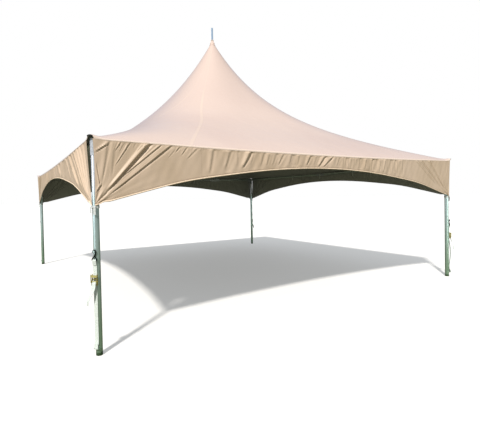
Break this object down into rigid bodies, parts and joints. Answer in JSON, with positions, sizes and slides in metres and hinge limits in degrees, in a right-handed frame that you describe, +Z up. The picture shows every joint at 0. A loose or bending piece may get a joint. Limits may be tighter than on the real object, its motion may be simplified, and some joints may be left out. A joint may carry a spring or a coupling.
{
  "type": "marquee tent",
  "caption": "square high-peak frame marquee: aluminium legs and eave frame, cable-borne mast, one coated beige cover with arched valances",
  "frame": {"origin": "on the ground, on the mast's axis", "axes": "+Z up, +X and +Y along the sides, front faces -Y"},
  "size_m": [6.1632, 6.1632, 4.962],
  "materials": {
    "leg_aluminium": "satin",
    "frame_aluminium": "satin",
    "fitting_steel": "galvanised, dull",
    "tip_steel": "satin",
    "cable_steel": "stranded wire rope",
    "cover_fabric": "smooth coated polyester, dark lining",
    "valance_fabric": "coated polyester, light wrinkles",
    "hook_coating": "black dipped coating",
    "ratchet_zinc": "yellow zinc",
    "webbing": "woven"
  },
  "bodies": {
    "root": {"leg_front_left": "leg_aluminium", "leg_front_right": "leg_aluminium", "leg_back_right": "leg_aluminium", "leg_back_left": "leg_aluminium", "corner_fitting_front_left": "fitting_steel", "corner_fitting_front_right": "fitting_steel", "corner_fitting_back_right": "fitting_steel", "corner_fitting_back_left": "fitting_steel", "eave_tube_front_left": "frame_aluminium", "eave_tube_front_right": "frame_aluminium", "eave_coupler_front": "fitting_steel", "eave_tube_right_front": "frame_aluminium", "eave_tube_right_back": "frame_aluminium", "eave_coupler_right": "fitting_steel", "eave_tube_back_right": "frame_aluminium", "eave_tube_back_left": "frame_aluminium", "eave_coupler_back": "fitting_steel", "eave_tube_left_back": "frame_aluminium", "eave_tube_left_front": "frame_aluminium", "eave_coupler_left": "fitting_steel", "mast": "frame_aluminium", "mast_hub": "fitting_steel", "mast_tip": "tip_steel", "cross_cable_front_left": "cable_steel", "cross_cable_front_right": "cable_steel", "cross_cable_back_right": "cable_steel", "cross_cable_back_left": "cable_steel", "roof_cover_front": "cover_fabric", "roof_cover_right": "cover_fabric", "roof_cover_back": "cover_fabric", "roof_cover_left": "cover_fabric", "valance_front": "valance_fabric", "valance_right": "valance_fabric", "valance_back": "valance_fabric", "valance_left": "valance_fabric", "anchor_hook_front_left": "hook_coating", "anchor_ratchet_front_left": "ratchet_zinc", "anchor_webbing_front_left": "webbing", "anchor_tail_front_left": "webbing", "anchor_hook_front_right": "hook_coating", "anchor_ratchet_front_right": "ratchet_zinc", "anchor_webbing_front_right": "webbing", "anchor_tail_front_right": "webbing", "anchor_hook_back_right": "hook_coating", "anchor_ratchet_back_right": "ratchet_zinc", "anchor_webbing_back_right": "webbing", "anchor_tail_back_right": "webbing"}
  },
  "joints": []
}
